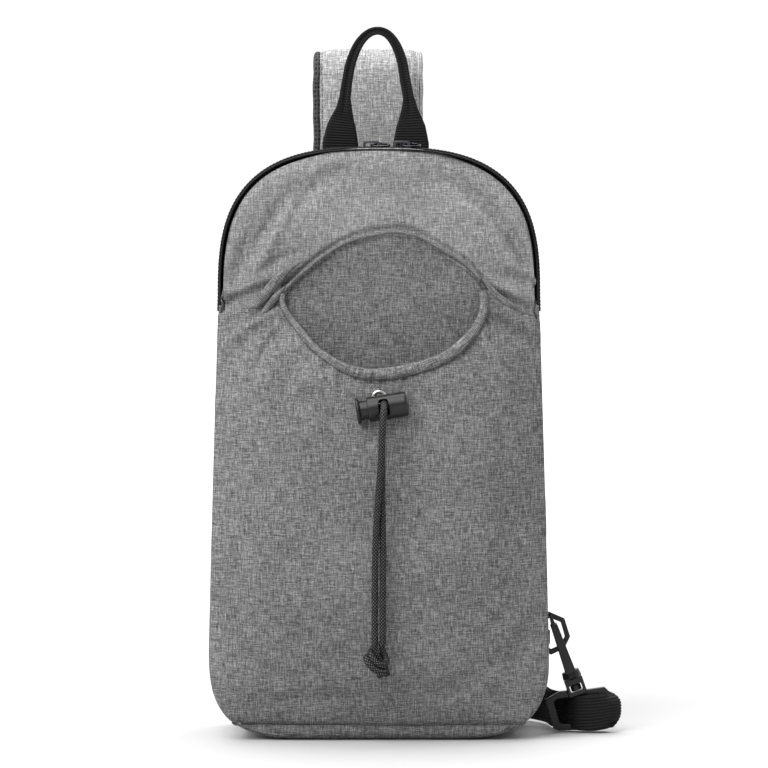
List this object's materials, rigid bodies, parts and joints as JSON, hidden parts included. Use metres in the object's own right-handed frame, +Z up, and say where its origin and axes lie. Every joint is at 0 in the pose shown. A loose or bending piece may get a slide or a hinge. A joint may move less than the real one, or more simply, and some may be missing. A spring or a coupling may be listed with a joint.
{
  "type": "sling bag",
  "caption": "One-strap sling bag with drawstring front pocket, domed zip, grab handle, cord lock and a snap hook on a side ring.",
  "frame": {"origin": "centre of the bag's flat base, on the surface it stands on", "axes": "+Z up to the handle, the front with the drawstring pocket faces -Y, +X towards the snap hook's side"},
  "size_m": [0.2455, 0.165, 0.4202],
  "materials": {
    "heather_fabric": "heathered mid-grey plain-weave polyester with slubs",
    "spacer_mesh": "dark grey air mesh",
    "foam": "closed-cell foam, hidden",
    "lining": "thin dark polyester lining",
    "black_webbing": "ribbed black polypropylene webbing",
    "black_cord": "round braided black polyester cord",
    "black_plastic": "satin moulded black acetal",
    "gunmetal": "black nickel plated zinc",
    "nickel": "bright nickel plated brass",
    "spring_steel": "plain spring wire"
  },
  "bodies": {
    "root": {"front_panel": "heather_fabric", "back_panel_cover": "spacer_mesh", "back_panel_foam": "foam", "back_panel_lining": "lining", "side_gusset_left": "heather_fabric", "side_gusset_right": "heather_fabric", "bottom_panel": "heather_fabric", "dome_gusset": "heather_fabric", "zip_tape_front": "black_webbing", "zip_tape_rear": "black_webbing", "zip_chain": "black_plastic", "pocket_front_wall": "heather_fabric", "pocket_back_wall": "heather_fabric", "mouth_hem": "heather_fabric", "hem_drawcord": "black_cord", "eyelet": "nickel", "drawcord_left": "black_cord", "drawcord_right": "black_cord", "drawcord_knot": "black_cord", "strap_face": "heather_fabric", "strap_foam": "foam", "strap_mesh": "spacer_mesh", "lower_webbing": "black_webbing", "ring_tab": "black_webbing", "hook_frame": "black_plastic"},
    "handle": {"grab_handle": "black_webbing"},
    "left_slider": {"zip_slider_left": "gunmetal"},
    "left_pull": {"zip_pull_left": "gunmetal"},
    "right_slider": {"zip_slider_right": "gunmetal"},
    "right_pull": {"zip_pull_right": "gunmetal"},
    "lock_carrier": {"cord_lock_spring": "spring_steel"},
    "cord_lock": {"cord_lock_barrel": "black_plastic"},
    "lock_button": {"cord_lock_plunger": "black_plastic"},
    "ring": {"side_ring": "black_plastic"},
    "hook": {"hook_body": "black_plastic"},
    "gate": {"hook_gate": "black_plastic"},
    "adjuster": {"strap_adjuster": "black_plastic"}
  },
  "joints": [
    {"name": "handle_flop", "type": "hinge", "parent": "root", "child": "handle", "pos_m": [0, 0.014, 0.3478], "axis": [1, 0, 0], "range_deg": [-20, 45], "stiffness_Nm_per_rad": 0.05},
    {"name": "left_slider_slide", "type": "slide", "parent": "root", "child": "left_slider", "axis": [-1, 0, 0], "range_m": [0, 0.025]},
    {"name": "right_slider_slide", "type": "slide", "parent": "root", "child": "right_slider", "axis": [1, 0, 0], "range_m": [0, 0.025]},
    {"name": "left_pull_swing", "type": "hinge", "parent": "left_slider", "child": "left_pull", "pos_m": [-0.0045, -0.00105, 0.34955], "axis": [0, -1, 0], "range_deg": [0, 140]},
    {"name": "right_pull_swing", "type": "hinge", "parent": "right_slider", "child": "right_pull", "pos_m": [0.0135, -0.00105, 0.34955], "axis": [0, -1, 0], "range_deg": [0, 140]},
    {"name": "lock_slide", "type": "slide", "parent": "root", "child": "lock_carrier", "axis": [-0.0434, -0.2428, -0.9691], "range_m": [0, 0.046], "deforming": ["drawcord_left", "drawcord_right"]},
    {"name": "lock_turn", "type": "hinge", "parent": "lock_carrier", "child": "cord_lock", "pos_m": [0.005, -0.0632, 0.1972], "axis": [0.9877, 0, 0.1564], "range_deg": [0, 90]},
    {"name": "button_press", "type": "slide", "parent": "cord_lock", "child": "lock_button", "axis": [0.9877, 0, 0.1564], "range_m": [0, 0.0045], "stiffness_N_per_m": 300, "springref_m": -0.002},
    {"name": "ring_swing", "type": "hinge", "parent": "root", "child": "ring", "pos_m": [0.0987, -0.0002, 0.0566], "axis": [0, 0, 1], "range_deg": [-3, 3]},
    {"name": "hook_swivel", "type": "hinge", "parent": "root", "child": "hook", "pos_m": [0.1172, 0, 0.0274], "axis": [-0.3354, 0, 0.9421], "range_deg": [-12, 12]},
    {"name": "gate_press", "type": "hinge", "parent": "hook", "child": "gate", "pos_m": [0.11317, 0.004, 0.0387], "axis": [0.9421, 0, 0.3354], "range_deg": [0, 4], "stiffness_Nm_per_rad": 0.02, "springref_deg": -17.19},
    {"name": "adjuster_slide", "type": "slide", "parent": "root", "child": "adjuster", "axis": [1, 0, 0], "range_m": [-0.008, 0.008]}
  ],
  "couplings": [
    {"joint": "lock_turn", "follows": "lock_slide", "rad_per_m": 34.114}
  ]
}
